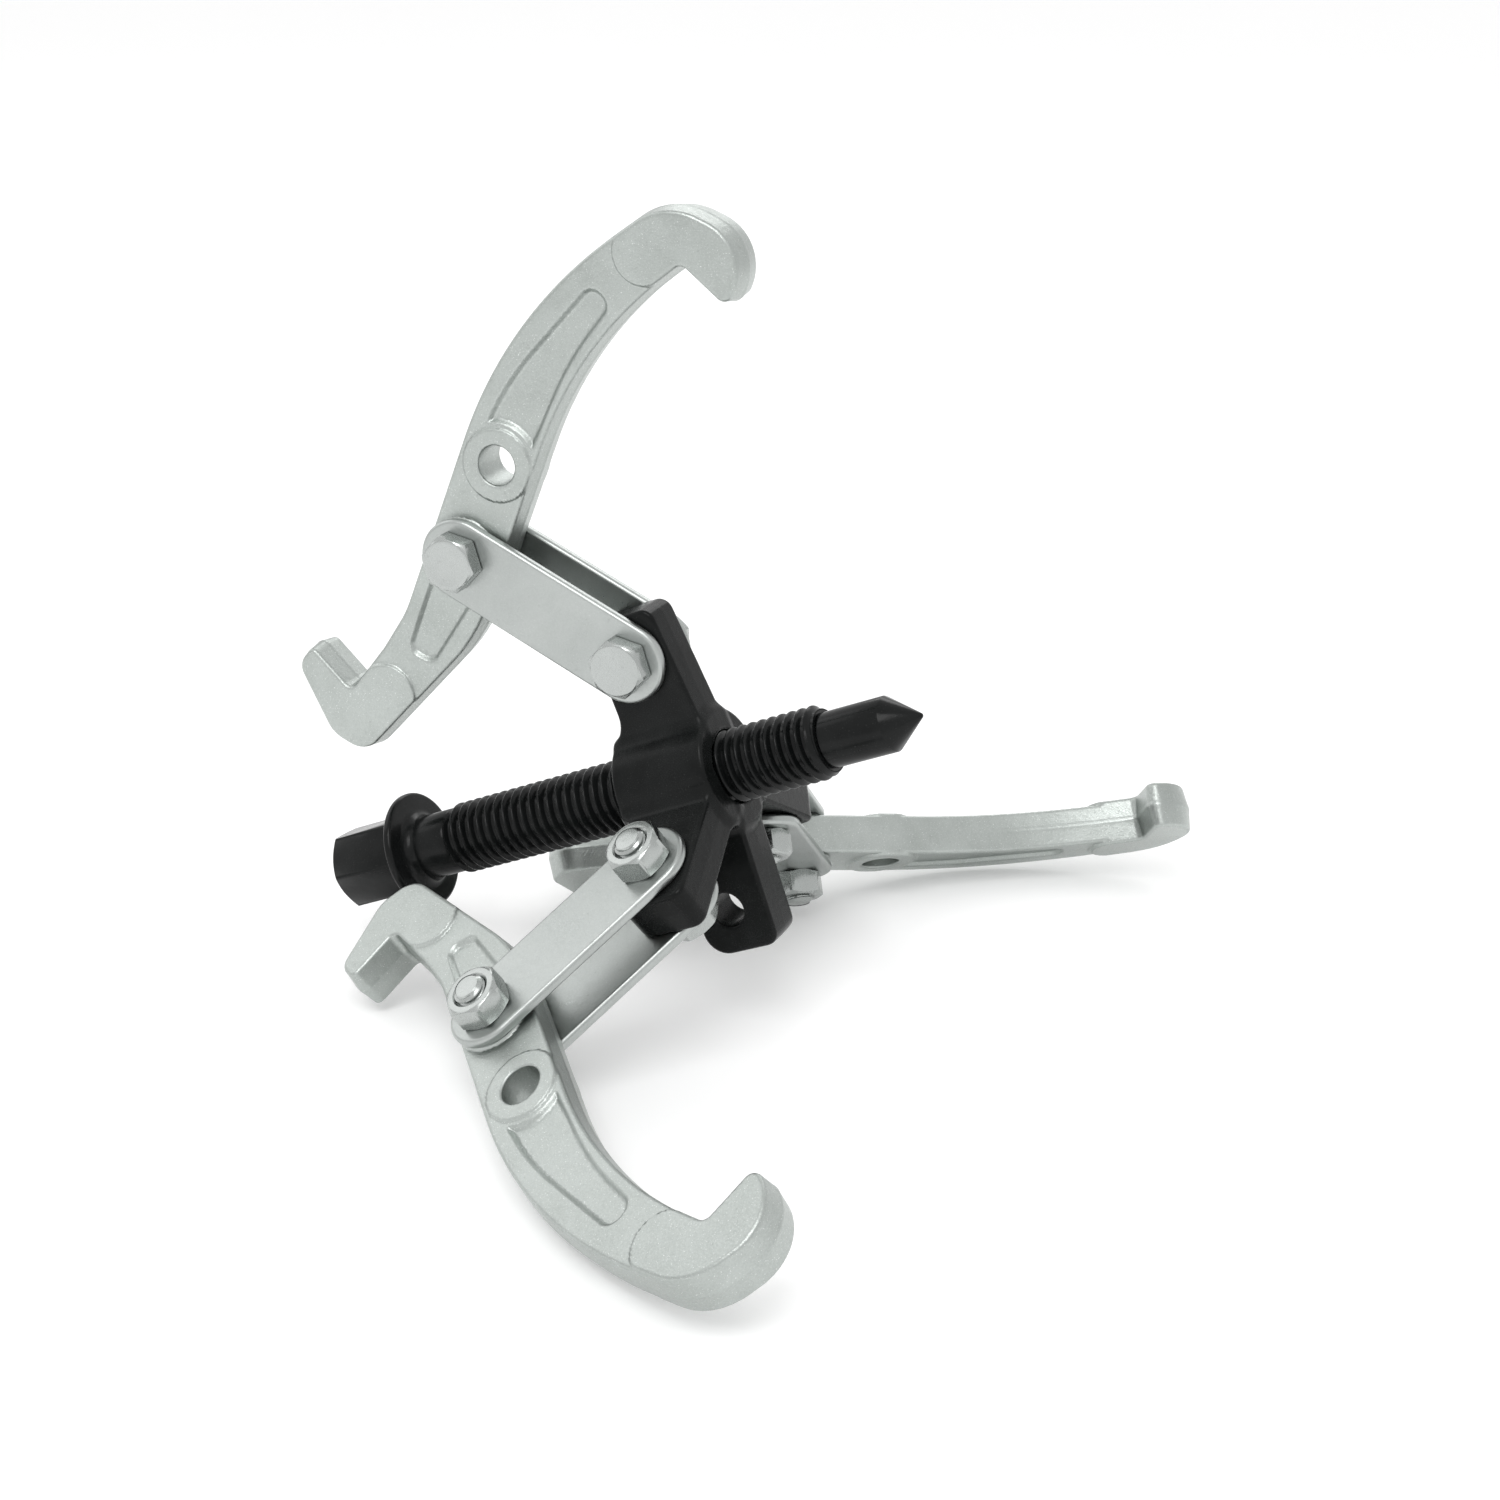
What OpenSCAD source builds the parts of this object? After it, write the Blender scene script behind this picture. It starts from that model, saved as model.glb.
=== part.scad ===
// Three-jaw gear puller with reversible jaws on a four-arm yoke.
// Millimetres. The design axis is the forcing screw; the finished tool is laid
// down on the tips of its jaws by place() at the end of the Hidden section.

/* [Forcing screw] */
// Outside diameter of the screw thread
screw_d = 18; // [17.6:0.1:18.4]
// Distance between neighbouring thread crests
thread_pitch = 2.74; // [2.5:0.02:3]
// Diameter of the plain neck under the collar
neck_d = 16.4; // [15:0.1:17]
// Diameter of the collar under the head
collar_d = 29.9; // [26:0.2:32]
// Hexagon of the screw head, across its flats
head_af = 19; // [17:0.5:20]
// Length of the screw head
head_h = 21.3; // [14:0.1:24]
// Diameter of the plain nose
nose_d = 13.5; // [12:0.1:15]
// Included angle of the point
point_angle = 75; // [60:1:90]

/* [Yoke] */
// Distance from the screw axis to each arm's pivot
pivot_r = 32.7; // [31:0.1:36]
// Thickness of each arm
arm_t = 11.8; // [10.6:0.1:11.9]
// Diameter of the threaded hub
hub_d = 29.4; // [28:0.2:31]
// Height of the hub
hub_h = 26; // [24:0.5:30]
// Diameter of the unused arm's hole
arm_hole_d = 8.6; // [8:0.1:9]

/* [Links] */
// Distance between the two pivots of a link
link_l = 49.8; // [46:0.2:56]
// Width of a link
link_w = 20.2; // [18:0.2:21]
// Thickness of a link
link_t = 2.8; // [2:0.1:3.2]

/* [Jaws] */
// Distance from a jaw's pivot to its second hole
hole_step = 26.2; // [25:0.1:28]
// Diameter of the second hole
jaw_hole_d = 10; // [8.6:0.1:11]
// Thickness of a jaw's arms
jaw_t = 10.4; // [9:0.1:11]
// Thickness at a jaw's two round bosses
boss_t = 11.8; // [11.2:0.1:11.9]
// Thickness at the large hook
big_pad_t = 12.2; // [11.2:0.1:14]
// Thickness at the small hook
small_pad_t = 12.2; // [11.2:0.1:14]
// Depth of the forged pockets
pocket_d = 1.2; // [0.5:0.1:2.5]

/* [Fasteners] */
// Diameter of the pivot bolts
bolt_d = 8; // [7.6:0.1:8]
// Hexagon of bolt heads and nuts, across the flats
hex_af = 13; // [12:0.5:14]
// Height of a bolt head
bolt_head_h = 5.3; // [4.5:0.1:6]
// Height of a nut
nut_h = 6.5; // [5:0.1:7]
// Length of bolt standing out of a nut
bolt_out = 1.5; // [0.5:0.1:3]

/* [Opening] */
// Angle of link 1, up from level
link_1_a = -42.4; // [-45:0.1:-40]
// Angle of link 2, up from level
link_2_a = -47.2; // [-50:0.1:-44]
// Angle of link 3, up from level
link_3_a = -20.3; // [-23:0.1:-17]
// Lean of jaw 1, outward from the screw axis
jaw_1_a = 44.4; // [42:0.1:47]
// Lean of jaw 2, outward from the screw axis
jaw_2_a = 57.9; // [55:0.1:60]
// Lean of jaw 3, outward from the screw axis
jaw_3_a = 54.1; // [51:0.1:57]

/* [Hidden] */
$fn = 96;

arm_az  = [0, 120, 240];       // azimuths of the arms that carry jaws
free_az = 180;                 // azimuth of the unused arm
link_a  = [link_1_a, link_2_a, link_3_a];
jaw_a   = [jaw_1_a, jaw_2_a, jaw_3_a];

run       = 0.08;              // running clearance on the radius of every pivot
link_in   = 6;                 // inner face of a link, from the arm's mid-plane
link_out  = link_in + link_t;
collar_z  = -81.2;             // front face of the collar
collar_h  = 2.4;
neck_r    = 2.6;               // hollow round between collar and neck
thread_z0 = -69.72;            // ends of the thread
thread_z1 = 39.5;
nose_z1   = 56.1;              // end of the plain nose
tip_flat  = 0.8;               // small flat on the very point
cone_h    = (nose_d - tip_flat) / 2 / tan(point_angle / 2);
head_z    = collar_z - collar_h - head_h;
thread_n  = floor((thread_z1 - thread_z0) / thread_pitch);
core_r    = screw_d / 2 - 0.55 * thread_pitch;

// ---- helpers ---------------------------------------------------------
function unit(v) = v / norm(v);
// one corner of an outline, rounded with radius r
function corner(a, b, c, r, n) =
    let (u = unit(a - b), v = unit(c - b), half = acos(max(-1, min(1, u * v))) / 2,
         d = r / tan(half), m = b + unit(u + v) * (r / sin(half)),
         s = b + u * d - m, e = b + v * d - m,
         a0 = atan2(s[1], s[0]), a1 = atan2(e[1], e[0]),
         turn = (a1 - a0 + 540) % 360 - 180)
    [for (k = [0 : n]) m + r * [cos(a0 + turn * k / n), sin(a0 + turn * k / n)]];
// closed outline from [x, y, radius, steps] corners
function rounded(p) = [for (i = [0 : len(p) - 1])
    let (a = p[(i + len(p) - 1) % len(p)], b = p[i], c = p[(i + 1) % len(p)])
    for (q = corner([a[0], a[1]], [b[0], b[1]], [c[0], c[1]], b[2], b[3])) q];

module in_arm(az) { rotate([0, 0, az]) children(); }
// frame of a link: x from yoke pivot to jaw pivot, z along the pivots
module in_link(i) {
    in_arm(arm_az[i]) translate([pivot_r, 0, 0]) rotate([0, -link_a[i], 0]) rotate([-90, 0, 0]) children();
}
// frame of a jaw: x from its pivot towards the large hook, y outward, z along the pivots
module in_jaw(i) {
    in_arm(arm_az[i])
        translate([pivot_r + link_l * cos(link_a[i]), 0, link_l * sin(link_a[i])])
            rotate([0, jaw_a[i] - 90, 0]) rotate([-90, 0, 0]) children();
}
module hex(af, h) { cylinder(d = af / cos(30), h = h, $fn = 6); }
// hexagon with its outer corners turned off to a cone
module turned_hex(af, h, both = false) {
    c = af / cos(30) / 2;
    intersection() {
        hex(af, h);
        union() {
            translate([0, 0, both ? 0.9 : 0]) cylinder(r = c + 0.3, h = h - (both ? 1.8 : 0.9));
            translate([0, 0, h - 0.9]) cylinder(r1 = c + 0.3, r2 = af / 2 - 0.55, h = 0.9);
            if (both) cylinder(r1 = af / 2 - 0.1, r2 = c + 0.3, h = 0.9);
        }
    }
}

// ---- forcing screw ---------------------------------------------------
// the thread is a stack of ridges: the crests clear the hub's bore
module screw_body() {
    r = screw_d / 2;
    // collar, neck and core
    rotate_extrude() polygon(concat(
        [[0, head_z + head_h - 0.01], [collar_d / 2 - 0.8, collar_z - collar_h], [collar_d / 2, collar_z - collar_h + 0.8],
         [collar_d / 2, collar_z - 0.8], [collar_d / 2 - 0.8, collar_z]],
        [for (a = [0 : 22.5 : 90]) [neck_d / 2 + neck_r * (1 - sin(a)), collar_z + neck_r * (1 - cos(a))]],
        [[neck_d / 2, thread_z0]],
        [for (k = [0 : thread_n - 1]) for (q = [[core_r, 0.1], [r - 0.1, 0.42], [r, 0.5], [r - 0.1, 0.58], [core_r, 0.9]])
            [q[0], thread_z0 + (k + q[1]) * thread_pitch]],
        [[nose_d / 2 + 0.8, thread_z1], [0, thread_z1]]));
    // hexagon head
    translate([0, 0, head_z]) rotate([0, 0, 26]) intersection() {
        hex(head_af, head_h + 0.5);
        union() {
            cylinder(r1 = head_af / 2 - 0.6, r2 = head_af / 2 + 1.6, h = 1.6);
            translate([0, 0, 1.6]) cylinder(r = head_af / 2 + 1.6, h = head_h);
        }
    }
}
module screw() {
    color([0.06, 0.06, 0.065]) difference() {
        screw_body();
        translate([0, 0, thread_z1 - 12]) cylinder(r = 4 + 0.05, h = 12.5);
    }
}
// hard point: its stem turns in the end of the screw
module screw_point() {
    color([0.07, 0.07, 0.075]) {
        translate([0, 0, thread_z1 - 11.5]) cylinder(r = 4, h = 12);
        rotate_extrude() polygon([[0, thread_z1 + 0.05], [nose_d / 2, thread_z1 + 0.05], [nose_d / 2, nose_z1],
            [tip_flat / 2, nose_z1 + cone_h], [0, nose_z1 + cone_h]]);
    }
}

// ---- yoke ------------------------------------------------------------
module arm_outline() {
    polygon(rounded([[8, -12.6, 0.1, 2], [13.5, -12.6, 2, 6], [17.5, -9, 8, 8], [43.7, -9, 6, 12],
                     [43.7, 10.2, 3.5, 10], [16, 12.2, 1, 4], [8, 12.6, 0.1, 2]]));
}
module arm_plate() { rotate([90, 0, 0]) translate([0, 0, -arm_t / 2]) linear_extrude(arm_t) arm_outline(); }
module yoke() {
    color([0.05, 0.05, 0.055]) difference() {
        union() {
            translate([0, 0, -hub_h / 2]) cylinder(d = hub_d, h = hub_h);
            for (a = concat(arm_az, [free_az])) in_arm(a) arm_plate();
        }
        translate([0, 0, -hub_h]) cylinder(r = screw_d / 2 + 0.06, h = 2 * hub_h);
        for (a = arm_az) in_arm(a) translate([pivot_r, 0, 0]) rotate([90, 0, 0])
            translate([0, 0, -10]) cylinder(r = bolt_d / 2 + run, h = 20);
        in_arm(free_az) translate([pivot_r, 0, 0]) rotate([90, 0, 0])
            translate([0, 0, -10]) cylinder(d = arm_hole_d, h = 20);
    }
}

// ---- links -----------------------------------------------------------
module link(z0) {
    translate([0, 0, z0]) difference() {
        union() {
            cylinder(d = link_w, h = link_t);
            translate([link_l, 0, 0]) cylinder(d = link_w, h = link_t);
            translate([0, -link_w / 2, 0]) cube([link_l, link_w, link_t]);
        }
        for (x = [0, link_l]) translate([x, 0, -1]) cylinder(r = bolt_d / 2 + run, h = link_t + 2);
    }
}
module link_front(i) { color([0.80, 0.82, 0.82]) in_link(i) link(link_in); }
module link_rear(i)  { color([0.80, 0.82, 0.82]) in_link(i) link(-link_out); }

// ---- jaws ------------------------------------------------------------
module jaw_outline() {
    polygon(rounded([[-64.3, 5.6, 5, 8], [-18.6, -11.2, 50, 8], [63.6, -8.7, 100, 16], [92.6, -25.6, 1.5, 4],
                     [88.2, -39.3, 2.6, 8], [106, -39.3, 13, 16], [106, -15.4, 17, 12], [62.5, 12.3, 114, 18],
                     [-22, 10.2, 30, 4], [-34, 12.4, 15, 4], [-48.6, 16.4, 1.5, 4], [-43.4, 30.9, 2.6, 8],
                     [-51.4, 33.2, 5, 8], [-64.3, 17, 9, 6]]));
}
module big_pad_zone() {
    translate([91.8, -15.6]) circle(r = 8.2);
    polygon([[91.8, -15.6], [97, -4], [120, -4], [120, -50], [80, -50], [86, -23.6]]);
}
module small_pad_zone() {
    translate([-45.5, 6.3]) circle(r = 8.6);
    polygon([[-45.5, 6.3], [-42, 18], [-30, 45], [-80, 45], [-80, -10], [-48.5, -8]]);
}
module pockets() {
    difference() {
        polygon(rounded([[20, 7.4, 0.5, 2], [46, 5.9, 80, 6], [79.2, -6, 3.4, 6], [76.4, -12.9, 3.4, 6],
                         [59, -8, 80, 6], [20, -6.4, 0.5, 2]]));
        translate([hole_step, 0]) circle(r = 10.6);
    }
    difference() {
        polygon(rounded([[-4, 6.2, 0.5, 2], [-31.8, 5.4, 3.4, 6], [-30.6, -2.6, 3.4, 6], [-4, -7.6, 0.5, 2]]));
        circle(r = 10.6);
    }
}
module jaw_solid() {
    difference() {
        union() {
            translate([0, 0, -jaw_t / 2]) linear_extrude(jaw_t) jaw_outline();
            translate([0, 0, -boss_t / 2]) cylinder(r = 9.7, h = boss_t);
            translate([hole_step, 0, -boss_t / 2]) cylinder(r = 9.4, h = boss_t);
            translate([0, 0, -big_pad_t / 2]) linear_extrude(big_pad_t)
                intersection() { jaw_outline(); big_pad_zone(); }
            translate([0, 0, -small_pad_t / 2]) linear_extrude(small_pad_t)
                intersection() { jaw_outline(); small_pad_zone(); }
        }
        translate([0, 0, -12]) cylinder(r = bolt_d / 2 + run, h = 24);
        translate([hole_step, 0, -12]) cylinder(d = jaw_hole_d, h = 24);
        for (s = [1, -1]) translate([0, 0, s * (jaw_t / 2 + 1 - pocket_d) - 1]) linear_extrude(2) pockets();
    }
}
module jaw(i) { color([0.74, 0.76, 0.76]) in_jaw(i) jaw_solid(); }

// ---- pivot bolts and nuts ---------------------------------------------
module bolt(turn) {
    translate([0, 0, link_out]) rotate([0, 0, turn]) turned_hex(hex_af, bolt_head_h);
    translate([0, 0, -link_out - nut_h - bolt_out + 0.8]) cylinder(r = bolt_d / 2, h = 2 * link_out + nut_h + bolt_out);
    translate([0, 0, -link_out - nut_h - bolt_out]) cylinder(r1 = bolt_d / 2 - 0.8, r2 = bolt_d / 2, h = 0.8);
}
module nut(turn) {
    translate([0, 0, -link_out - nut_h]) rotate([0, 0, turn]) difference() {
        translate([0, 0, nut_h]) mirror([0, 0, 1]) turned_hex(hex_af, nut_h, true);
        translate([0, 0, -1]) cylinder(r = bolt_d / 2 + 0.01, h = nut_h + 2);
    }
}
module yoke_bolt(i) { color([0.78, 0.80, 0.81]) in_arm(arm_az[i]) translate([pivot_r, 0, 0]) rotate([-90, 0, 0]) bolt(head_turn[i]); }
module yoke_nut(i)  { color([0.76, 0.78, 0.79]) in_arm(arm_az[i]) translate([pivot_r, 0, 0]) rotate([-90, 0, 0]) nut(nut_turn[i]); }
module jaw_bolt(i)  { color([0.78, 0.80, 0.81]) in_link(i) translate([link_l, 0, 0]) bolt(head_turn[i + 3] + link_a[i]); }
module jaw_nut(i)   { color([0.76, 0.78, 0.79]) in_link(i) translate([link_l, 0, 0]) nut(nut_turn[i + 3] + link_a[i]); }
head_turn = [-5, -5, 20, -5, -5, 10];
nut_turn  = [-28, -28, -10, -28, -28, 20];

// ---- resting attitude --------------------------------------------------
// Laid down on two jaws and the unused arm: arm 1 leans back over the screw,
// the point looks up and to the right.
module place() { translate([5.28, -2.06, 62.05]) rotate([0, 65.96, 0]) rotate([0, 0, 178.77]) children(); }

place() yoke();
place() screw();
place() screw_point();
place() link_front(0);  // link_1_front
place() link_rear(0);  // link_1_rear
place() link_front(1);  // link_2_front
place() link_rear(1);  // link_2_rear
place() link_front(2);  // link_3_front
place() link_rear(2);  // link_3_rear
place() jaw(0);  // jaw_1
place() jaw(1);  // jaw_2
place() jaw(2);  // jaw_3
place() yoke_bolt(0);  // yoke_bolt_1
place() yoke_bolt(1);  // yoke_bolt_2
place() yoke_bolt(2);  // yoke_bolt_3
place() yoke_nut(0);  // yoke_nut_1
place() yoke_nut(1);  // yoke_nut_2
place() yoke_nut(2);  // yoke_nut_3
place() jaw_bolt(0);  // jaw_bolt_1
place() jaw_bolt(1);  // jaw_bolt_2
place() jaw_bolt(2);  // jaw_bolt_3
place() jaw_nut(0);  // jaw_nut_1
place() jaw_nut(1);  // jaw_nut_2
place() jaw_nut(2);  // jaw_nut_3
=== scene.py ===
import math

import bpy
import numpy as np
from mathutils import Matrix, Vector
from mathutils.geometry import tessellate_polygon


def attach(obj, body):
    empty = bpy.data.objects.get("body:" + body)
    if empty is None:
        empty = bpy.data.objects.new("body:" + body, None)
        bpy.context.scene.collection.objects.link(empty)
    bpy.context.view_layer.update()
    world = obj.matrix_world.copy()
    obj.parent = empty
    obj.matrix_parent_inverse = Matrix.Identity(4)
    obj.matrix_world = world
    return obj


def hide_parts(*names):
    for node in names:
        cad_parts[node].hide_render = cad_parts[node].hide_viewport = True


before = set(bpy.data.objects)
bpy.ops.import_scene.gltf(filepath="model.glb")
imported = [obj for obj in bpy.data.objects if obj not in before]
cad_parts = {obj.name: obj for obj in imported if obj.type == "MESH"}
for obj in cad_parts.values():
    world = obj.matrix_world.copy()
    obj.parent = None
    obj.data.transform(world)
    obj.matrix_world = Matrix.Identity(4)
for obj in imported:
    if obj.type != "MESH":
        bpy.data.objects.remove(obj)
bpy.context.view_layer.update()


# ---------------------------------------------------------------- sizes, mm
SCREW_R, PITCH, NECK_R, COLLAR_R = 9.0, 2.74, 8.2, 14.95
COLLAR_Z, COLLAR_H, HEAD_H, HEAD_AF = -81.2, 2.4, 21.3, 18.7
TH_Z0, TH_Z1, NOSE_R, NOSE_Z1, TIP_R = -69.72, 39.5, 6.75, 56.1, 0.4
CONE_H = (2 * NOSE_R - 2 * TIP_R) / 2 / math.tan(math.radians(37.5))
PIVOT_R, ARM_T, HUB_R, HUB_H, ARM_HOLE_R = 32.7, 11.8, 14.7, 26.0, 4.3
LINK_L, LINK_W, LINK_T, LINK_IN = 49.8, 20.2, 2.8, 6.0
HOLE_X, JAW_HOLE_R, JAW_T, BOSS_T, BIG_T, SMALL_T = 26.2, 5.0, 10.4, 11.8, 12.2, 12.2
HEX_AF, HEAD5, NUT_H, BOLT_OUT, BOLT_R, RUN = 13.0, 5.3, 6.5, 1.5, 4.0, 0.08
ARM_AZ, FREE_AZ = (0, 120, 240), 180
LINK_A = (-42.4, -47.2, -20.3)
JAW_A = (44.4, 57.9, 54.1)


def rx(a): return Matrix.Rotation(math.radians(a), 4, "X")
def ry(a): return Matrix.Rotation(math.radians(a), 4, "Y")
def rz(a): return Matrix.Rotation(math.radians(a), 4, "Z")
def tr(x, y, z): return Matrix.Translation((x, y, z))


PLACE = tr(5.28, -2.06, 62.05) @ ry(65.96) @ rz(178.77)


def arm_m(i): return PLACE @ rz(ARM_AZ[i])
def pivot_m(i): return arm_m(i) @ tr(PIVOT_R, 0, 0) @ rx(-90)
def link_m(i): return arm_m(i) @ tr(PIVOT_R, 0, 0) @ ry(-LINK_A[i]) @ rx(-90)


def jaw_m(i):
    a = math.radians(LINK_A[i])
    return (arm_m(i) @ tr(PIVOT_R + LINK_L * math.cos(a), 0, LINK_L * math.sin(a))
            @ ry(JAW_A[i] - 90) @ rx(-90))


# ------------------------------------------------------------- mesh helpers
def put(name, verts, faces, m, mat, body, nodes, normals=None, attr=None, sharp=None):
    """Makes one piece from millimetre vertices in a local frame m."""
    M = np.array(m)
    v = (np.asarray(verts, float) @ M[:3, :3].T + M[:3, 3]) * 0.001
    me = bpy.data.meshes.new(name)
    me.from_pydata(v.tolist(), [], faces if isinstance(faces, list) else faces.tolist())
    me.validate(verbose=False)
    me.update()
    for p in me.polygons:
        p.use_smooth = True
    if attr is not None:
        for key, val in attr.items():
            a = me.attributes.new(key, "FLOAT", "POINT")
            a.data.foreach_set("value", np.asarray(val, np.float32))
    if normals is not None and len(me.vertices) == len(normals):
        n = np.asarray(normals, float) @ M[:3, :3].T
        n /= np.maximum(np.linalg.norm(n, axis=1, keepdims=True), 1e-9)
        me.normals_split_custom_set_from_vertices(n.tolist())
    elif sharp is not None:
        me.set_sharp_from_angle(angle=math.radians(sharp))
    ob = bpy.data.objects.new(name, me)
    bpy.context.scene.collection.objects.link(ob)
    me.materials.append(mat)
    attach(ob, body)
    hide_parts(*nodes)
    return ob


def unit(v):
    n = math.hypot(v[0], v[1])
    return (v[0] / n, v[1] / n)


def rounded(pts, fine=1.0):
    """Closed outline with an arc at each [x, y, radius] corner."""
    out = []
    k = len(pts)
    for i in range(k):
        a, b, c = pts[i - 1], pts[i], pts[(i + 1) % k]
        u, v = unit((a[0] - b[0], a[1] - b[1])), unit((c[0] - b[0], c[1] - b[1]))
        half = math.acos(max(-1, min(1, u[0] * v[0] + u[1] * v[1]))) / 2
        r = b[2]
        d = r / math.tan(half)
        w = unit((u[0] + v[0], u[1] + v[1]))
        m = (b[0] + w[0] * r / math.sin(half), b[1] + w[1] * r / math.sin(half))
        s = (b[0] + u[0] * d - m[0], b[1] + u[1] * d - m[1])
        e = (b[0] + v[0] * d - m[0], b[1] + v[1] * d - m[1])
        a0, a1 = math.atan2(s[1], s[0]), math.atan2(e[1], e[0])
        turn = (a1 - a0 + 3 * math.pi) % (2 * math.pi) - math.pi
        n = max(2, int(math.ceil(abs(turn) * r / fine)), int(math.ceil(abs(turn) / 0.2)))
        for j in range(n + 1):
            t = a0 + turn * j / n
            out.append((m[0] + r * math.cos(t), m[1] + r * math.sin(t)))
    return np.array(out)


def poly_sd(P, x, y):
    """Signed distance to a closed outline, negative inside."""
    shape = x.shape
    x, y = x.ravel(), y.ravel()
    A, B = P, np.roll(P, -1, axis=0)
    keep = np.hypot(*(B - A).T) > 1e-7
    A, B = A[keep], B[keep]
    out = np.empty(len(x))
    for s in range(0, len(x), 20000):
        px, py = x[s:s + 20000, None], y[s:s + 20000, None]
        ex, ey = (B - A)[:, 0], (B - A)[:, 1]
        wx, wy = px - A[:, 0], py - A[:, 1]
        t = np.clip((wx * ex + wy * ey) / (ex * ex + ey * ey), 0, 1)
        d = np.sqrt(((wx - ex * t) ** 2 + (wy - ey * t) ** 2).min(1))
        c = ((A[:, 1] <= py) != (B[:, 1] <= py)) & (px < A[:, 0] + (py - A[:, 1]) / np.where(ey == 0, 1e-9, ey) * ex)
        out[s:s + 20000] = np.where(c.sum(1) % 2 == 1, -d, d)
    return out.reshape(shape)


def rmax(a, b, r):
    """Intersection with a round edge of radius r."""
    return np.minimum(np.maximum(a + r, b + r), 0) + np.hypot(np.maximum(a + r, 0), np.maximum(b + r, 0)) - r


def rmin(a, b, r):
    """Union with a fillet of radius r."""
    return np.maximum(r, np.minimum(a, b)) - np.hypot(np.maximum(r - a, 0), np.maximum(r - b, 0))


def step(d, w):
    """1 inside, 0 outside, over a smooth wall w wide."""
    t = np.clip(0.5 - d / w, 0, 1)
    return t * t * (3 - 2 * t)


def nets(f, lo, hi, h):
    """Closed quad mesh of f = 0, with its points moved onto the surface and true normals."""
    n = [int(math.ceil((hi[k] - lo[k]) / h)) + 1 for k in range(3)]
    g = [lo[k] + h * np.arange(n[k]) for k in range(3)]
    V = f(g[0][:, None, None], g[1][None, :, None], g[2][None, None, :])
    V = np.broadcast_to(V, n).astype(np.float64)
    s = V < 0
    cell = [q - 1 for q in n]
    cnt = np.zeros(cell, np.int16)
    acc = [np.zeros(cell) for _ in range(3)]
    edges = []
    for ax in range(3):
        a = [slice(None)] * 3
        b = [slice(None)] * 3
        a[ax], b[ax] = slice(0, n[ax] - 1), slice(1, n[ax])
        m = s[tuple(a)] != s[tuple(b)]
        va, vb = V[tuple(a)], V[tuple(b)]
        t = np.where(m, va / np.where(m, va - vb, 1), 0)
        edges.append(m)
        o1, o2 = [k for k in range(3) if k != ax]
        for p in (0, 1):
            for q in (0, 1):
                sl = [slice(None)] * 3
                sl[o1] = slice(p, n[o1] - 1 + p)
                sl[o2] = slice(q, n[o2] - 1 + q)
                mm, tt = m[tuple(sl)], t[tuple(sl)]
                cnt += mm
                acc[ax] += tt * mm
                acc[o1] += p * mm
                acc[o2] += q * mm
    on = cnt > 0
    idx = -np.ones(cell, np.int64)
    idx[on] = np.arange(on.sum())
    ijk = np.array(np.nonzero(on)).T
    pts = np.stack([lo[k] + h * (ijk[:, k] + acc[k][on] / cnt[on]) for k in range(3)], 1)
    quads = []
    for ax in range(3):
        o1, o2 = (ax + 1) % 3, (ax + 2) % 3
        e = np.array(np.nonzero(edges[ax])).T
        e = e[(e[:, o1] > 0) & (e[:, o2] > 0) & (e[:, o1] < n[o1] - 1) & (e[:, o2] < n[o2] - 1)]
        c = []
        for p, q in ((1, 1), (0, 1), (0, 0), (1, 0)):
            k = e.copy()
            k[:, o1] -= p
            k[:, o2] -= q
            c.append(idx[k[:, 0], k[:, 1], k[:, 2]])
        c = np.stack(c, 1)
        inside = s[e[:, 0], e[:, 1], e[:, 2]]
        c[~inside] = c[~inside][:, ::-1]
        quads.append(c)
    quads = np.concatenate(quads)

    def grad(p, e):
        g3 = []
        for k in range(3):
            d = np.zeros(3)
            d[k] = e
            a, b = p + d, p - d
            g3.append((f(a[:, 0], a[:, 1], a[:, 2]) - f(b[:, 0], b[:, 1], b[:, 2])) / (2 * e))
        return np.stack(g3, 1)

    for _ in range(3):
        v = f(pts[:, 0], pts[:, 1], pts[:, 2])
        G = grad(pts, 0.03)
        L = np.maximum((G ** 2).sum(1), 0.05)
        mv = G * (v / L)[:, None]
        ln = np.linalg.norm(mv, axis=1, keepdims=True)
        pts = pts - mv * np.minimum(1, 0.45 * h / np.maximum(ln, 1e-9))
    N = grad(pts, 0.05)
    return pts, quads, N


def loft(rings, close_a=True, close_b=True):
    """Skins a list of rings with the same number of points."""
    k = len(rings[0])
    v = np.concatenate([np.asarray(r, float) for r in rings])
    f = []
    for a in range(len(rings) - 1):
        for j in range(k):
            p, q = a * k + j, a * k + (j + 1) % k
            f.append((p, q, q + k, p + k))
    if close_a:
        f.append(tuple(range(k))[::-1])
    if close_b:
        f.append(tuple(range((len(rings) - 1) * k, len(rings) * k)))
    return v, f


def join(parts):
    v, f, at = [], [], 0
    for pv, pf in parts:
        v.append(np.asarray(pv, float))
        f += [tuple(int(i) + at for i in q) for q in pf]
        at += len(pv)
    return np.concatenate(v), f


def circle(r, z, n):
    t = 2 * np.pi * np.arange(n) / n
    return np.stack([r * np.cos(t), r * np.sin(t), np.full(n, z)], 1)


def lathe(prof, n=96):
    """Turned solid about z from (radius, z) points; both ends closed."""
    return loft([circle(max(r, 1e-4), z, n) for r, z in prof])


def arc(cx, cz, r, a0, a1, n):
    return [(cx + r * math.cos(math.radians(a0 + (a1 - a0) * k / n)),
             cz + r * math.sin(math.radians(a0 + (a1 - a0) * k / n))) for k in range(n + 1)]


# ---------------------------------------------------------------- materials
def nodes_of(name):
    m = bpy.data.materials.new(name)
    m.use_nodes = True
    nt = m.node_tree
    return m, nt, nt.nodes["Principled BSDF"]


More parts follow.
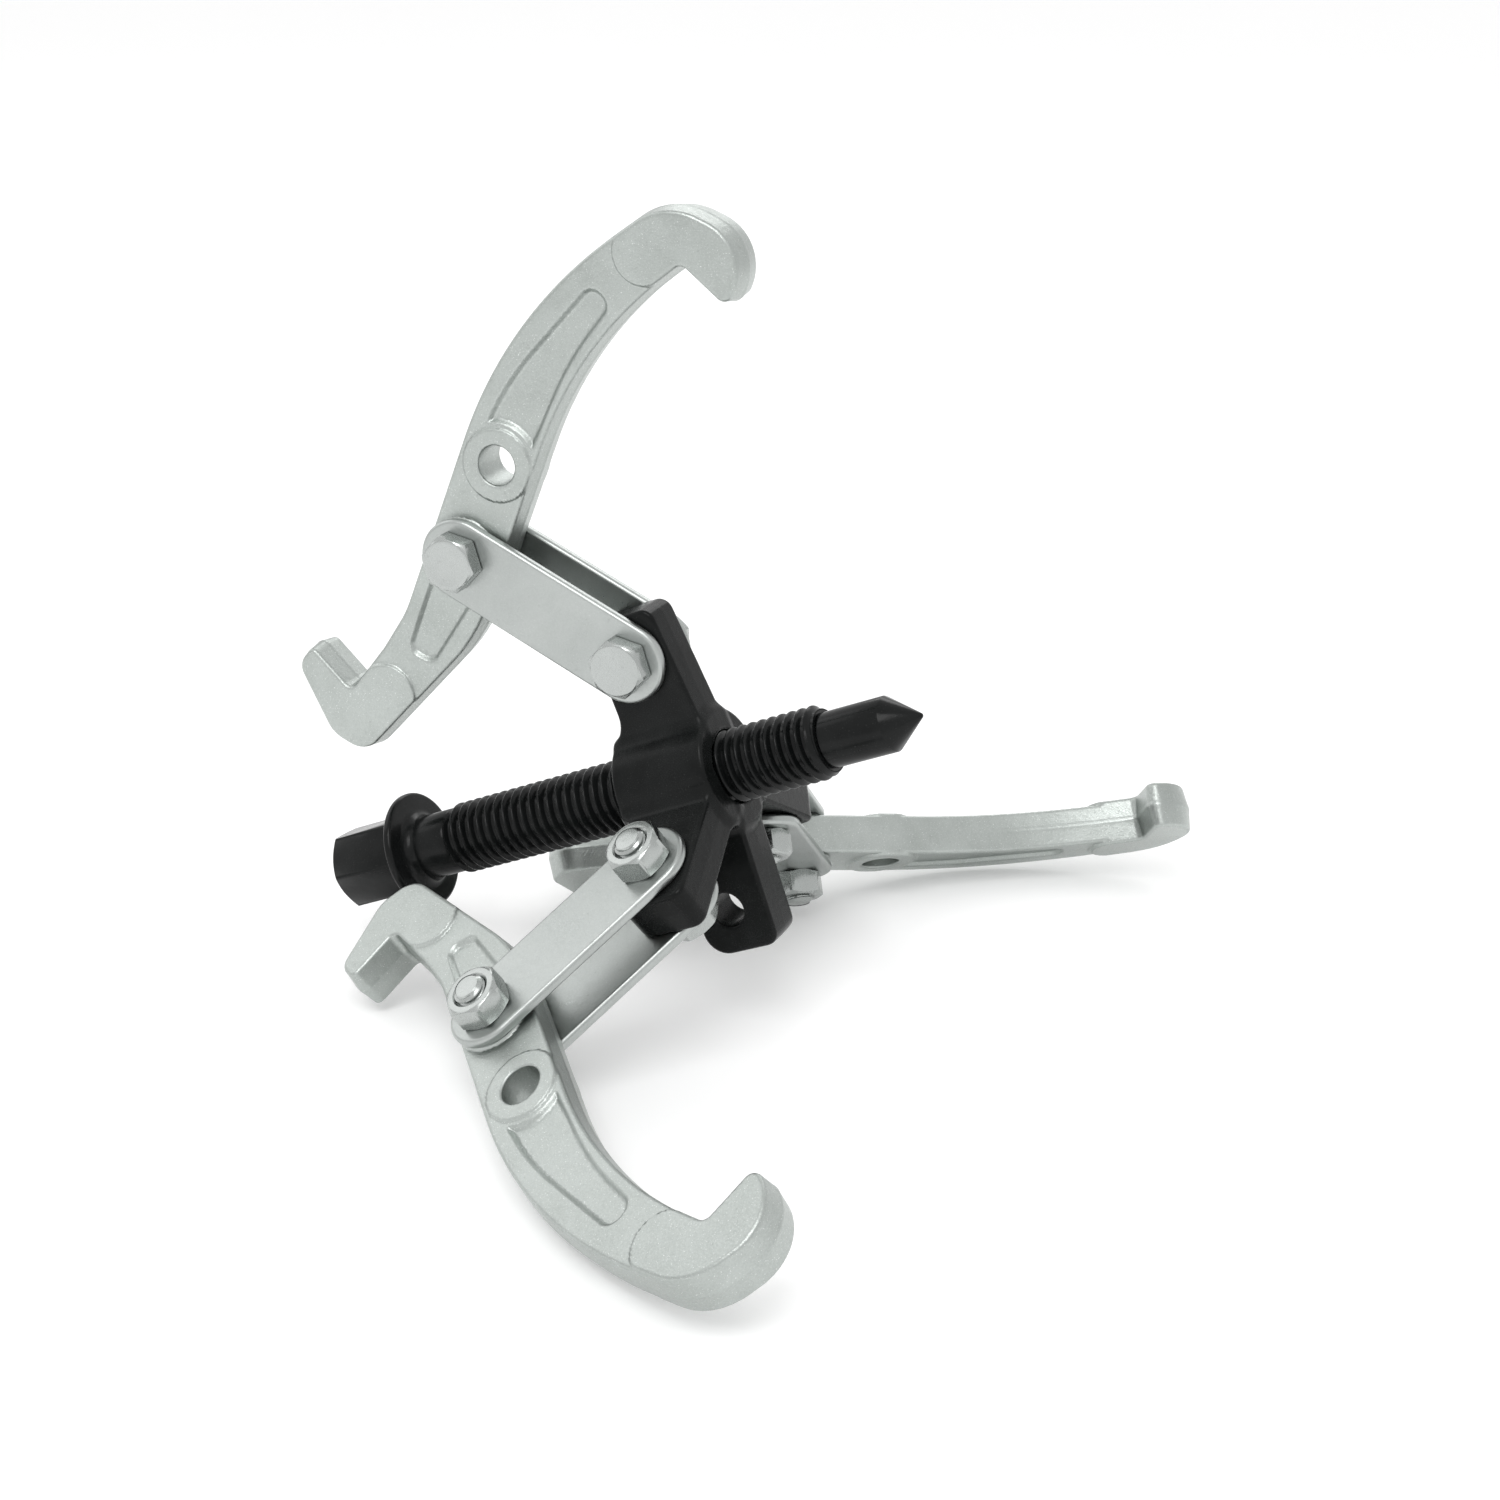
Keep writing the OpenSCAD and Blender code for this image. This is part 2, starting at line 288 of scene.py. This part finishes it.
def add(nt, kind, **inputs):
    n = nt.nodes.new(kind)
    for k, v in inputs.items():
        if k.startswith("_"):
            setattr(n, k[1:], v)
        else:
            n.inputs[k.replace("__", " ")].default_value = v
    return n


def noise(nt, coord, scale, detail=2.0, rough=0.5, dist=0.0):
    n = add(nt, "ShaderNodeTexNoise", Scale=scale, Detail=detail, Roughness=rough, Distortion=dist)
    nt.links.new(coord, n.inputs["Vector"])
    return n.outputs["Fac"]


def remap(nt, x, a, b, c, d):
    n = add(nt, "ShaderNodeMapRange", _clamp=True)
    for k, v in zip(("From Min", "From Max", "To Min", "To Max"), (a, b, c, d)):
        n.inputs[k].default_value = v
    nt.links.new(x, n.inputs["Value"])
    return n.outputs["Result"]


def math_n(nt, op, a, b):
    n = nt.nodes.new("ShaderNodeMath")
    n.operation = op
    for i, v in enumerate((a, b)):
        if isinstance(v, (int, float)):
            n.inputs[i].default_value = v
        else:
            nt.links.new(v, n.inputs[i])
    return n.outputs[0]


def mix_col(nt, fac, a, b):
    n = nt.nodes.new("ShaderNodeMix")
    n.data_type = "RGBA"
    for sock, v in ((n.inputs[6], a), (n.inputs[7], b)):
        if isinstance(v, tuple):
            sock.default_value = (*v, 1.0)
        else:
            nt.links.new(v, sock)
    if isinstance(fac, (int, float)):
        n.inputs[0].default_value = fac
    else:
        nt.links.new(fac, n.inputs[0])
    return n.outputs[2]


def zinc(name, lo, hi, rough, grain, grain_scale, sparkle=0.0, glint=0.0):
    """Bright zinc plating: fine blasted grain, slow clouding, and small bright specks that are painted sparkle and
    painted glints in the base colour.
    """
    m, nt, b = nodes_of(name)
    co = nt.nodes.new("ShaderNodeTexCoord").outputs["Object"]
    cloud = noise(nt, co, 55.0, 4.0, 0.6, 0.4)
    fine = noise(nt, co, grain_scale, 3.0, 0.65)
    mid = noise(nt, co, grain_scale * 0.22, 3.0, 0.6)
    col = mix_col(nt, remap(nt, cloud, 0.35, 0.65, 0.0, 1.0), lo, hi)
    # Lighter fine-grain specks: partly the plating's own grain tone, partly painted sparkle (the sparkle share stands
    # in for specular glints).
    grain_tone_and_sparkle_mask = remap(nt, fine, 0.40, 0.62, 0.0, 1.0)
    col = mix_col(nt, math_n(nt, "MULTIPLY", grain_tone_and_sparkle_mask, 0.10 + sparkle), col, (min(1, hi[0] * 1.22), min(1, hi[1] * 1.22), min(1, hi[2] * 1.22)))
    pits = remap(nt, mid, 0.24, 0.34, 1.0, 0.0)
    col = mix_col(nt, math_n(nt, "MULTIPLY", pits, 0.35), col, (lo[0] * 0.62, lo[1] * 0.62, lo[2] * 0.62))
    # Painted glints: sparse near-white specks in the base colour stand in for specular glints on the plating.
    painted_glint_mask = remap(nt, noise(nt, co, 3400.0, 1.0, 0.5), 0.68, 0.74, 0.0, 1.0)
    col = mix_col(nt, math_n(nt, "MULTIPLY", painted_glint_mask, glint), col, (0.95, 0.97, 0.96))
    nt.links.new(col, b.inputs["Base Color"])
    r = math_n(nt, "ADD", remap(nt, cloud, 0.3, 0.7, rough - 0.04, rough + 0.05), remap(nt, fine, 0.35, 0.65, 0.05, -0.05))
    nt.links.new(r, b.inputs["Roughness"])
    b.inputs["Metallic"].default_value = 1.0
    h = math_n(nt, "ADD", fine, math_n(nt, "MULTIPLY", mid, 1.6))
    bump = add(nt, "ShaderNodeBump", Strength=grain, Distance=0.00010)
    nt.links.new(h, bump.inputs["Height"])
    nt.links.new(bump.outputs["Normal"], b.inputs["Normal"])
    return m


def black(name, base, rough, peel, shine):
    m, nt, b = nodes_of(name)
    co = nt.nodes.new("ShaderNodeTexCoord").outputs["Object"]
    cloud = noise(nt, co, 70.0, 4.0, 0.6, 0.3)
    orange = noise(nt, co, 620.0, 2.0, 0.5)
    dust = noise(nt, co, 3200.0, 2.0, 0.6)
    col = mix_col(nt, remap(nt, cloud, 0.35, 0.65, 0.0, 1.0), base, tuple(min(1, c * 1.7 + 0.002) for c in base))
    fleck = remap(nt, dust, 0.66, 0.74, 0.0, 1.0)
    col = mix_col(nt, math_n(nt, "MULTIPLY", fleck, 0.35), col, (0.09, 0.09, 0.09))
    nt.links.new(col, b.inputs["Base Color"])
    r = math_n(nt, "ADD", remap(nt, cloud, 0.3, 0.7, rough - 0.05, rough + 0.06), remap(nt, dust, 0.4, 0.6, -0.02, 0.04))
    nt.links.new(r, b.inputs["Roughness"])
    b.inputs["Metallic"].default_value = 0.0
    b.inputs["Specular IOR Level"].default_value = shine
    h = math_n(nt, "ADD", math_n(nt, "MULTIPLY", orange, 1.5), math_n(nt, "MULTIPLY", dust, 0.35))
    bump = add(nt, "ShaderNodeBump", Strength=peel, Distance=0.00010)
    nt.links.new(h, bump.inputs["Height"])
    nt.links.new(bump.outputs["Normal"], b.inputs["Normal"])
    return m


MAT_JAW = zinc("forged_zinc", (0.370, 0.396, 0.379), (0.445, 0.474, 0.457), 0.38, 0.62, 2500.0, 0.14, 0.55)
MAT_STRAP = zinc("strap_zinc", (0.375, 0.396, 0.385), (0.435, 0.457, 0.445), 0.34, 0.20, 2400.0, 0.03, 0.12)
MAT_BOLT = zinc("bolt_zinc", (0.385, 0.404, 0.394), (0.435, 0.455, 0.445), 0.25, 0.07, 2600.0, 0.02, 0.06)
MAT_YOKE = black("yoke_black", (0.0048, 0.0054, 0.0053), 0.24, 0.30, 0.12)
MAT_SCREW = black("screw_black", (0.0036, 0.0041, 0.0041), 0.17, 0.20, 0.16)

# --------------------------------------------------------------------- jaws
JAW = rounded([(-64.3, 5.6, 8), (-18.6, -11.2, 50), (63.6, -8.7, 100), (92.6, -25.6, 1.5),
               (88.1, -40.4, 3.2), (106, -40.4, 13), (106, -15.4, 17), (62.5, 12.3, 114),
               (-22, 10.2, 30), (-34, 12.4, 15), (-48.6, 16.4, 1.5), (-43.4, 30.9, 2.6),
               (-51.4, 33.2, 5), (-64.3, 17, 9)], 1.2)
BIG_Z = np.array([(91.8, -15.6), (97, -4), (120, -4), (120, -50), (80, -50), (86, -23.6)], float)
SMALL_Z = np.array([(-45.5, 6.3), (-42, 18), (-30, 45), (-80, 45), (-80, -10), (-48.5, -8)], float)
POCKET_A = rounded([(20, 7.4, 0.5), (46, 5.9, 80), (79.2, -6, 3.4), (76.4, -12.9, 3.4), (59, -8, 80), (20, -6.4, 0.5)])
POCKET_B = rounded([(-4, 6.2, 0.5), (-31.8, 5.4, 3.4), (-30.6, -2.6, 3.4), (-4, -7.6, 0.5)])


def jaw_plan(x, y):
    """Outline distance, half thickness and hole distances at (x, y)."""
    x, y = np.broadcast_arrays(np.asarray(x, float), np.asarray(y, float))
    d = poly_sd(JAW, x, y)
    hole = np.hypot(x - HOLE_X, y)
    piv = np.hypot(x, y)
    big = np.minimum(np.hypot(x - 91.8, y + 15.6) - 8.2, poly_sd(BIG_Z, x, y))
    small = np.minimum(np.hypot(x + 45.5, y - 6.3) - 8.6, poly_sd(SMALL_Z, x, y))
    T = np.full(x.shape, JAW_T / 2)
    T = T + (BOSS_T - JAW_T) / 2 * np.maximum(step(hole - 9.4 + 0.15, 0.7), step(piv - 9.7 + 0.15, 0.7))
    T = T - 1.2 * step(rmax(poly_sd(POCKET_A, x, y), 10.6 - hole, 0.8) + 0.35, 1.5)
    T = T - 1.2 * step(rmax(poly_sd(POCKET_B, x, y), 10.6 - piv, 0.8) + 0.35, 1.5)
    T = T + (BIG_T - JAW_T) / 2 * step(big + 0.3, 0.8)
    T = T + (SMALL_T - JAW_T) / 2 * step(small + 0.3, 0.8)
    return d, T, hole, piv


def make_jaw():
    cache = {}

    def f(x, y, z):
        if np.ndim(x) == 3:
            d, T, hole, piv = jaw_plan(x[:, :, 0], y[:, :, 0])
            d, T, hole, piv = (q[:, :, None] for q in (d, T, hole, piv))
        else:
            d, T, hole, piv = jaw_plan(x, y)
        az = np.abs(z)
        side = d + 0.13 * az - 0.06 * np.exp(-(az / 0.7) ** 4)
        v = rmax(side + 0.06, az - T, 0.8)
        v = rmax(v, JAW_HOLE_R - hole, 0.55)
        v = rmax(v, BOLT_R + RUN - piv, 0.3)
        return v

    return nets(f, (-65.5, -40.6, -7.3), (107.2, 34.4, 7.3), H_JAW)


H_JAW = 0.55
H_YOKE = 0.5
jv, jf, jn = make_jaw()
for i in range(3):
    put("jaw_%d_forging" % (i + 1), jv, jf, jaw_m(i), MAT_JAW, "jaw_%d" % (i + 1), ["jaw_%d" % (i + 1)], normals=jn)

# --------------------------------------------------------------------- yoke
ARM = rounded([(8, -12.6, 0.1), (13.5, -12.6, 2), (17.5, -9, 8), (43.7, -9, 6), (43.7, 10.2, 3.5), (16, 12.2, 1), (8, 12.6, 0.1)], 0.8)


def yoke_f(x, y, z):
    x, y, z = np.broadcast_arrays(x, y, z)
    rho = np.hypot(x, y)
    v = rmax(rho - HUB_R, np.abs(z) - HUB_H / 2, 1.1)
    for az in (0, 120, 240, 180):
        c, s = math.cos(math.radians(az)), math.sin(math.radians(az))
        r, t = x * c + y * s, -x * s + y * c
        near = (r > 0) & (np.abs(t) < 12) & (v > -3)
        a = np.full(x.shape, 50.0)
        d2 = poly_sd(ARM, r[near], z[near])
        q = rmax(d2 + 0.02 * np.abs(t[near]), np.abs(t[near]) - ARM_T / 2, 0.95)
        hole = np.hypot(r[near] - PIVOT_R, z[near])
        q = rmax(q, (ARM_HOLE_R if az == 180 else BOLT_R + RUN) - hole, 0.6 if az == 180 else 0.3)
        a[near] = q
        v = np.where(near, rmin(v, a, 2.2), v)
    v = rmax(v, SCREW_R + 0.06 - rho, 0.9)
    return v


yv, yf, yn = nets(yoke_f, (-45.2, -42.4, -13.8), (45.2, 42.4, 13.8), H_YOKE)
put("yoke_forging", yv, yf, PLACE, MAT_YOKE, "yoke", ["yoke"], normals=yn)


# -------------------------------------------------------------------- links
def plate(outer, holes, z0, z1, r, seg=5):
    """Flat plate with rounded rims; outer runs anticlockwise, holes are (x, y, radius)."""
    def inset(P, d):
        T = np.roll(P, -1, 0) - np.roll(P, 1, 0)
        T /= np.linalg.norm(T, axis=1, keepdims=True)
        return P - d * np.stack([T[:, 1], -T[:, 0]], 1)
    prof = [(r * (1 - math.sin(a)), z0 + r * (1 - math.cos(a))) for a in np.linspace(0, math.pi / 2, seg + 1)]
    prof += [(r * (1 - math.sin(a)), z1 - r * (1 - math.cos(a))) for a in np.linspace(math.pi / 2, 0, seg + 1)]
    v, f, loops_lo, loops_hi, at = [], [], [], [], 0
    k = len(outer)
    for d, z in prof:
        q = inset(outer, d)
        v += [(x, y, z) for x, y in q]
    for a in range(len(prof) - 1):
        for j in range(k):
            p, q = a * k + j, a * k + (j + 1) % k
            f.append((p, q, q + k, p + k))
    loops_lo.append(list(range(k)))
    loops_hi.append(list(range((len(prof) - 1) * k, len(prof) * k)))
    at = len(v)
    m = 40
    for hx, hy, hr in holes:
        rr = 0.35
        hp = [(rr * (1 - math.sin(a)), z0 + rr * (1 - math.cos(a))) for a in np.linspace(0, math.pi / 2, 4)]
        hp += [(rr * (1 - math.sin(a)), z1 - rr * (1 - math.cos(a))) for a in np.linspace(math.pi / 2, 0, 4)]
        for d, z in hp:
            for j in range(m):
                t = 2 * math.pi * j / m
                v.append((hx + (hr + d) * math.cos(t), hy + (hr + d) * math.sin(t), z))
        for a in range(len(hp) - 1):
            for j in range(m):
                p, q = at + a * m + j, at + a * m + (j + 1) % m
                f.append((q, p, p + m, q + m))
        loops_lo.append([at + j for j in range(m)])
        loops_hi.append([at + (len(hp) - 1) * m + j for j in range(m)])
        at = len(v)
    for loops, up in ((loops_lo, False), (loops_hi, True)):
        flat = [i for lp in loops for i in lp]
        for t in tessellate_polygon([[Vector((v[i][0], v[i][1], 0)) for i in lp] for lp in loops]):
            a, b, c = (flat[i] for i in t)
            A, B, C = (np.array(v[i][:2]) for i in (a, b, c))
            ccw = (B[0] - A[0]) * (C[1] - A[1]) - (B[1] - A[1]) * (C[0] - A[0]) > 0
            f.append((a, b, c) if ccw == up else (a, c, b))
    v = np.array(v)
    nrm = np.zeros_like(v)
    for q in f:
        p = v[list(q)]
        c = np.cross(p[2] - p[0], p[-1] - p[1] if len(q) == 4 else p[1] - p[0])
        nrm[list(q)] += c if len(q) == 4 else -c
    flat_lo, flat_hi = np.abs(v[:, 2] - z0) < 1e-6, np.abs(v[:, 2] - z1) < 1e-6
    nrm[flat_lo], nrm[flat_hi] = (0, 0, -1), (0, 0, 1)
    return v, f, nrm


def stadium(n=28):
    R = LINK_W / 2
    p = [(LINK_L + R * math.cos(a), R * math.sin(a)) for a in np.linspace(-math.pi / 2, math.pi / 2, n)]
    p += [(R * math.cos(a), R * math.sin(a)) for a in np.linspace(math.pi / 2, 1.5 * math.pi, n)]
    return np.array(p)


for i in range(3):
    for side, z0 in (("front", LINK_IN), ("rear", -LINK_IN - LINK_T)):
        v, f, nv = plate(stadium(), [(0, 0, BOLT_R + RUN), (LINK_L, 0, BOLT_R + RUN)], z0, z0 + LINK_T, 1.05)
        n = "link_%d_%s" % (i + 1, side)
        put(n + "_strap", v, f, link_m(i), MAT_STRAP, "link_%d" % (i + 1), [n], normals=nv)


# ---------------------------------------------------------- bolts and nuts
def hex_ring(af, n=96, r=0.35):
    """n points round a hexagon with slightly rounded corners."""
    t = 2 * np.pi * np.arange(n) / n
    w = (t + np.pi / 6) % (np.pi / 3) - np.pi / 6
    c = af / 2 / np.cos(math.pi / 6)
    # corners lie at 0, 60, ...: distance to the nearest flat's line
    rho = af / 2 / np.cos(np.pi / 6 - np.abs(w))
    cap = c - r * (1 / math.cos(math.pi / 6) - 1) - 0.02
    rho = np.where(rho > cap - 0.05, cap - 0.05 + 0.05 * np.tanh((rho - cap + 0.05) / 0.05), rho)
    return t, rho


def hex_solid(af, z0, z1, top, bottom, turn, bore=None, dish=0.0):
    """Hexagon with turned-off corners. top, bottom: radius where the chamfer starts, or None."""
    t, rho = hex_ring(af)
    ang = t + math.radians(turn)
    def ring(r, z):
        r = np.broadcast_to(r, t.shape)
        z = np.broadcast_to(z, t.shape)
        return np.stack([r * np.cos(ang), r * np.sin(ang), z], 1)
    k = math.tan(math.radians(30))
    def drop(r, r0): return np.maximum(r - r0, 0) * k
    rings = []
    inner = bore if bore else 0.001
    if bottom is None:
        rings += [ring(inner, z0), ring(rho - 0.15, z0), ring(rho, z0 + 0.15)]
    else:
        rings += [ring(inner, z0)] + ([ring(inner + 0.5, z0)] if bore else [])
        rings += [ring(bottom - 0.15, z0), ring(bottom + 0.1, z0 + 0.06)]
        rings += [ring(bottom + (rho - bottom) * s, z0 + drop(bottom + (rho - bottom) * s, bottom - 0.1) + 0.02) for s in (0.45, 0.93)]
        rings += [ring(rho, z0 + drop(rho, bottom - 0.1) + 0.10)]
    rings += [ring(rho, z1 - drop(rho, top - 0.1) - 0.10)]
    rings += [ring(top + (rho - top) * s, z1 - drop(top + (rho - top) * s, top - 0.1) - 0.02) for s in (0.93, 0.45)]
    rings += [ring(top + 0.1, z1 - 0.06), ring(top - 0.15, z1)]
    if dish:
        rings += [ring(top - 0.9, z1 - 0.02), ring(top - 1.6, z1 - dish), ring(1.2, z1 - dish * 1.15)]
    if bore:
        rings += [ring(bore + 0.75, z1), ring(bore, z1 - 0.65)]
        v, f = loft(rings, False, False)
        K = len(t)
        a, b = (len(rings) - 1) * K, 0
        f += [(a + j, a + (j + 1) % K, b + (j + 1) % K, b + j) for j in range(K)]
        return v, f
    rings += [ring(0.001, rings[-1][0][2])]
    return loft(rings, True, True)


def bolt_thread(r, pitch, z0, z1, n=40):
    """Short right-hand thread running out to a chamfered end at z0 (the free end)."""
    prof = [(0.0, 0.0), (0.10, 0.0), (0.42, -0.60), (0.56, -0.60), (0.88, 0.0)]
    turns = (z1 - z0) / pitch
    rows = []
    kmax = int(math.ceil(turns)) + 1
    for k in range(-1, kmax):
        for s, d in prof:
            rows.append((k + s, d))
    v, f = [], []
    for s, d in rows:
        for j in range(n + 1):
            z = z0 + (s + j / n) * pitch
            rr = r + d * pitch * 0.9
            zc = min(max(z, z0), z1)
            end = r - 0.95 + (zc - z0) * 1.0
            v.append((min(rr, end) * math.cos(2 * math.pi * j / n), min(rr, end) * math.sin(2 * math.pi * j / n), zc))
    K = n + 1
    for a in range(len(rows) - 1):
        for j in range(n):
            p = a * K + j
            f.append((p, p + 1, p + 1 + K, p + K))
    return np.array(v), f


def bolt_parts(turn):
    out = LINK_IN + LINK_T
    head = hex_solid(HEX_AF, out + 0.25, out + HEAD5, HEX_AF / 2 - 0.35, None, turn, dish=0.10)
    washer = lathe([(5.9, out), (5.95, out + 0.05), (5.95, out + 0.27)], 64)
    e = -out - NUT_H - BOLT_OUT
    shank = lathe([(BOLT_R - 0.35, e + 2.4), (BOLT_R - 0.30, -out - 0.6), (BOLT_R, -out), (BOLT_R, out + 0.2)], 56)
    thread = bolt_thread(BOLT_R - 0.02, 1.25, e, e + 4.2)
    dome = lathe([(0.0, e - 0.0), (1.4, e + 0.0), (2.4, e + 0.05), (BOLT_R - 0.95, e + 0.12), (BOLT_R - 0.6, e + 0.9), (BOLT_R - 0.6, e + 3)], 56)
    return join([head, washer, shank, thread, dome])


HEAD_TURN = (-5, -5, 20, -5, -5, 10)
NUT_TURN = (-28, -28, -10, -28, -28, 20)
for i in range(3):
    for where, m, body, turn, nut_turn in (
            ("yoke", pivot_m(i), "yoke", HEAD_TURN[i], NUT_TURN[i]),
            ("jaw", link_m(i) @ tr(LINK_L, 0, 0), "link_%d" % (i + 1), HEAD_TURN[i + 3] + LINK_A[i], NUT_TURN[i + 3] + LINK_A[i])):
        k = "%s_bolt_%d" % (where, i + 1)
        v, f = bolt_parts(turn)
        put(k + "_hex", v, f, m, MAT_BOLT, body, [k], sharp=28)
        k = "%s_nut_%d" % (where, i + 1)
        out = LINK_IN + LINK_T
        v, f = hex_solid(HEX_AF, 0, NUT_H, HEX_AF / 2 - 0.35, HEX_AF / 2 - 0.15, -nut_turn, bore=BOLT_R + 0.02)
        v = v * np.array([1, -1, -1]) + np.array([0, 0, -out])
        put(k + "_hex", v, f, m, MAT_BOLT, body, [k], sharp=28)


# -------------------------------------------------------------------- screw
def screw_thread(n=72):
    prof = [(0.00, 0.0), (0.045, 0.13), (0.20, 0.82), (0.27, 0.97), (0.34, 1.0), (0.41, 0.97), (0.48, 0.82), (0.635, 0.13), (0.68, 0.0), (0.84, -0.03)]
    depth = 1.42
    root = SCREW_R - 0.02 - depth
    rows = [(k + s, d) for k in range(int(math.floor((TH_Z0 - CREST_Z) / PITCH)) - 1, int(math.ceil((TH_Z1 - CREST_Z) / PITCH)) + 1) for s, d in prof]
    v, f, crest = [], [], []
    for s, d in rows:
        for j in range(n + 1):
            a = 2 * math.pi * j / n + math.radians(CREST_AZ)
            z = CREST_Z + (s - 0.34 + j / n) * PITCH
            zc = min(max(z, TH_Z0), TH_Z1)
            fade = min(1.0, max(0.0, (zc - TH_Z0 - 0.1) / 1.6)) * min(1.0, max(0.0, (TH_Z1 - zc - 0.05) / 1.9))
            lim = root + depth * (0.12 + 0.88 * fade)
            r = min(root + depth * d, lim)
            v.append((r * math.cos(a), r * math.sin(a), zc))
            crest.append(max(0.0, d) if zc == z else 0.0)
    K = n + 1
    for a in range(len(rows) - 1):
        for j in range(n):
            p = a * K + j
            f.append((p, p + 1, p + 1 + K, p + K))
    return np.array(v), f


CREST_Z, CREST_AZ = -60.65, 61.8
cb = COLLAR_Z - COLLAR_H
neck = ([(0.0, cb), (COLLAR_R - 0.9, cb)] + arc(COLLAR_R - 0.9, cb + 0.9, 0.9, -90, 0, 6)[1:]
        + arc(COLLAR_R - 0.9, COLLAR_Z - 0.9, 0.9, 0, 90, 6)
        + [(NECK_R + 2.6, COLLAR_Z)] + arc(NECK_R + 2.6, COLLAR_Z + 2.6, 2.6, -90, -180, 10)[1:]
        + [(NECK_R, TH_Z0 - 0.6), (NECK_R - 0.5, TH_Z0 + 0.3), (7.0, TH_Z0 + 1.0)])
core = [(7.45, TH_Z0 + 0.5), (7.45, TH_Z1 - 0.02), (NOSE_R + 0.3, TH_Z1), (0.0, TH_Z1)]
hz = cb - HEAD_H
head = hex_solid(HEAD_AF, hz, cb + 0.4, HEAD_AF / 2 - 0.1, HEAD_AF / 2 - 0.5, 26)
th = screw_thread()
v, f = join([th, lathe(neck, 96), lathe(core, 72), head])
put("forcing_screw", v, f, PLACE, MAT_SCREW, "screw", ["screw"], sharp=38)

point = ([(0.0, TH_Z1 + 0.05), (NOSE_R - 0.35, TH_Z1 + 0.05)] + [(NOSE_R, TH_Z1 + 0.4), (NOSE_R, NOSE_Z1 - 0.15)]
         + [(NOSE_R - 0.08, NOSE_Z1 + 0.05)] + [(TIP_R + 0.25, NOSE_Z1 + CONE_H - 0.35), (TIP_R, NOSE_Z1 + CONE_H - 0.08), (TIP_R - 0.2, NOSE_Z1 + CONE_H), (0.0, NOSE_Z1 + CONE_H)])
v, f = join([lathe(point, 96), lathe([(4.0, TH_Z1 - 11.5), (4.0, TH_Z1 + 0.3)], 48)])
put("screw_nose", v, f, PLACE, MAT_SCREW, "point", ["screw_point"], sharp=30)

# ------------------------------------------------------- floor, light, camera
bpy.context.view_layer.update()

me = bpy.data.meshes.new("floor")
me.from_pydata([(-6, -6, 0), (6, -6, 0), (6, 6, 0), (-6, 6, 0)], [], [(0, 1, 2, 3)])
floor = bpy.data.objects.new("floor", me)
bpy.context.scene.collection.objects.link(floor)
fm, nt, b = nodes_of("floor_pale")
b.inputs["Base Color"].default_value = (0.88, 0.88, 0.88, 1)
b.inputs["Roughness"].default_value = 0.65
b.inputs["Specular IOR Level"].default_value = 0.1
b.inputs["Emission Color"].default_value = (1, 1, 1, 1)
b.inputs["Emission Strength"].default_value = 0.16
me.materials.append(fm)

world = bpy.data.worlds.new("studio")
bpy.context.scene.world = world
world.use_nodes = True
world.node_tree.nodes["Background"].inputs["Color"].default_value = (1.0, 1.0, 1.0, 1)
world.node_tree.nodes["Background"].inputs["Strength"].default_value = 0.92


def area(name, loc, target, size, power):
    d = bpy.data.lights.new(name, "AREA")
    d.shape = "RECTANGLE"
    d.size, d.size_y = size
    d.energy = power
    o = bpy.data.objects.new(name, d)
    bpy.context.scene.collection.objects.link(o)
    o.location = loc
    o.rotation_euler = (Vector(target) - Vector(loc)).to_track_quat("-Z", "Y").to_euler()
    return o


area("front_soft", (0.10, -0.85, 1.30), (0, 0, 0.08), (0.9, 0.7), 7.5)
area("left_soft", (-1.25, 0.1, 0.9), (0, 0, 0.08), (1.0, 1.0), 2.3)
area("small_hard", (-0.25, -0.85, 1.3), (0, 0, 0.08), (0.06, 0.06), 0.6)
area("rear_soft", (-0.25, 1.2, 0.9), (0, 0, 0.08), (1.0, 0.5), 3)

cam = bpy.data.cameras.new("camera")
cam.sensor_fit = "HORIZONTAL"
cam.sensor_width = 36.0
cam.lens = 60.9323
cam.shift_x, cam.shift_y = 0.14405, -0.17429
cam.clip_start, cam.clip_end = 0.02, 50
co = bpy.data.objects.new("camera", cam)
bpy.context.scene.collection.objects.link(co)
co.location = (0.233194, -0.529108, 0.304266)
co.rotation_euler = [math.radians(a) for a in (73.6332, 0.69, 26.8395)]
bpy.context.scene.camera = co
bpy.context.scene.view_settings.view_transform = "Standard"
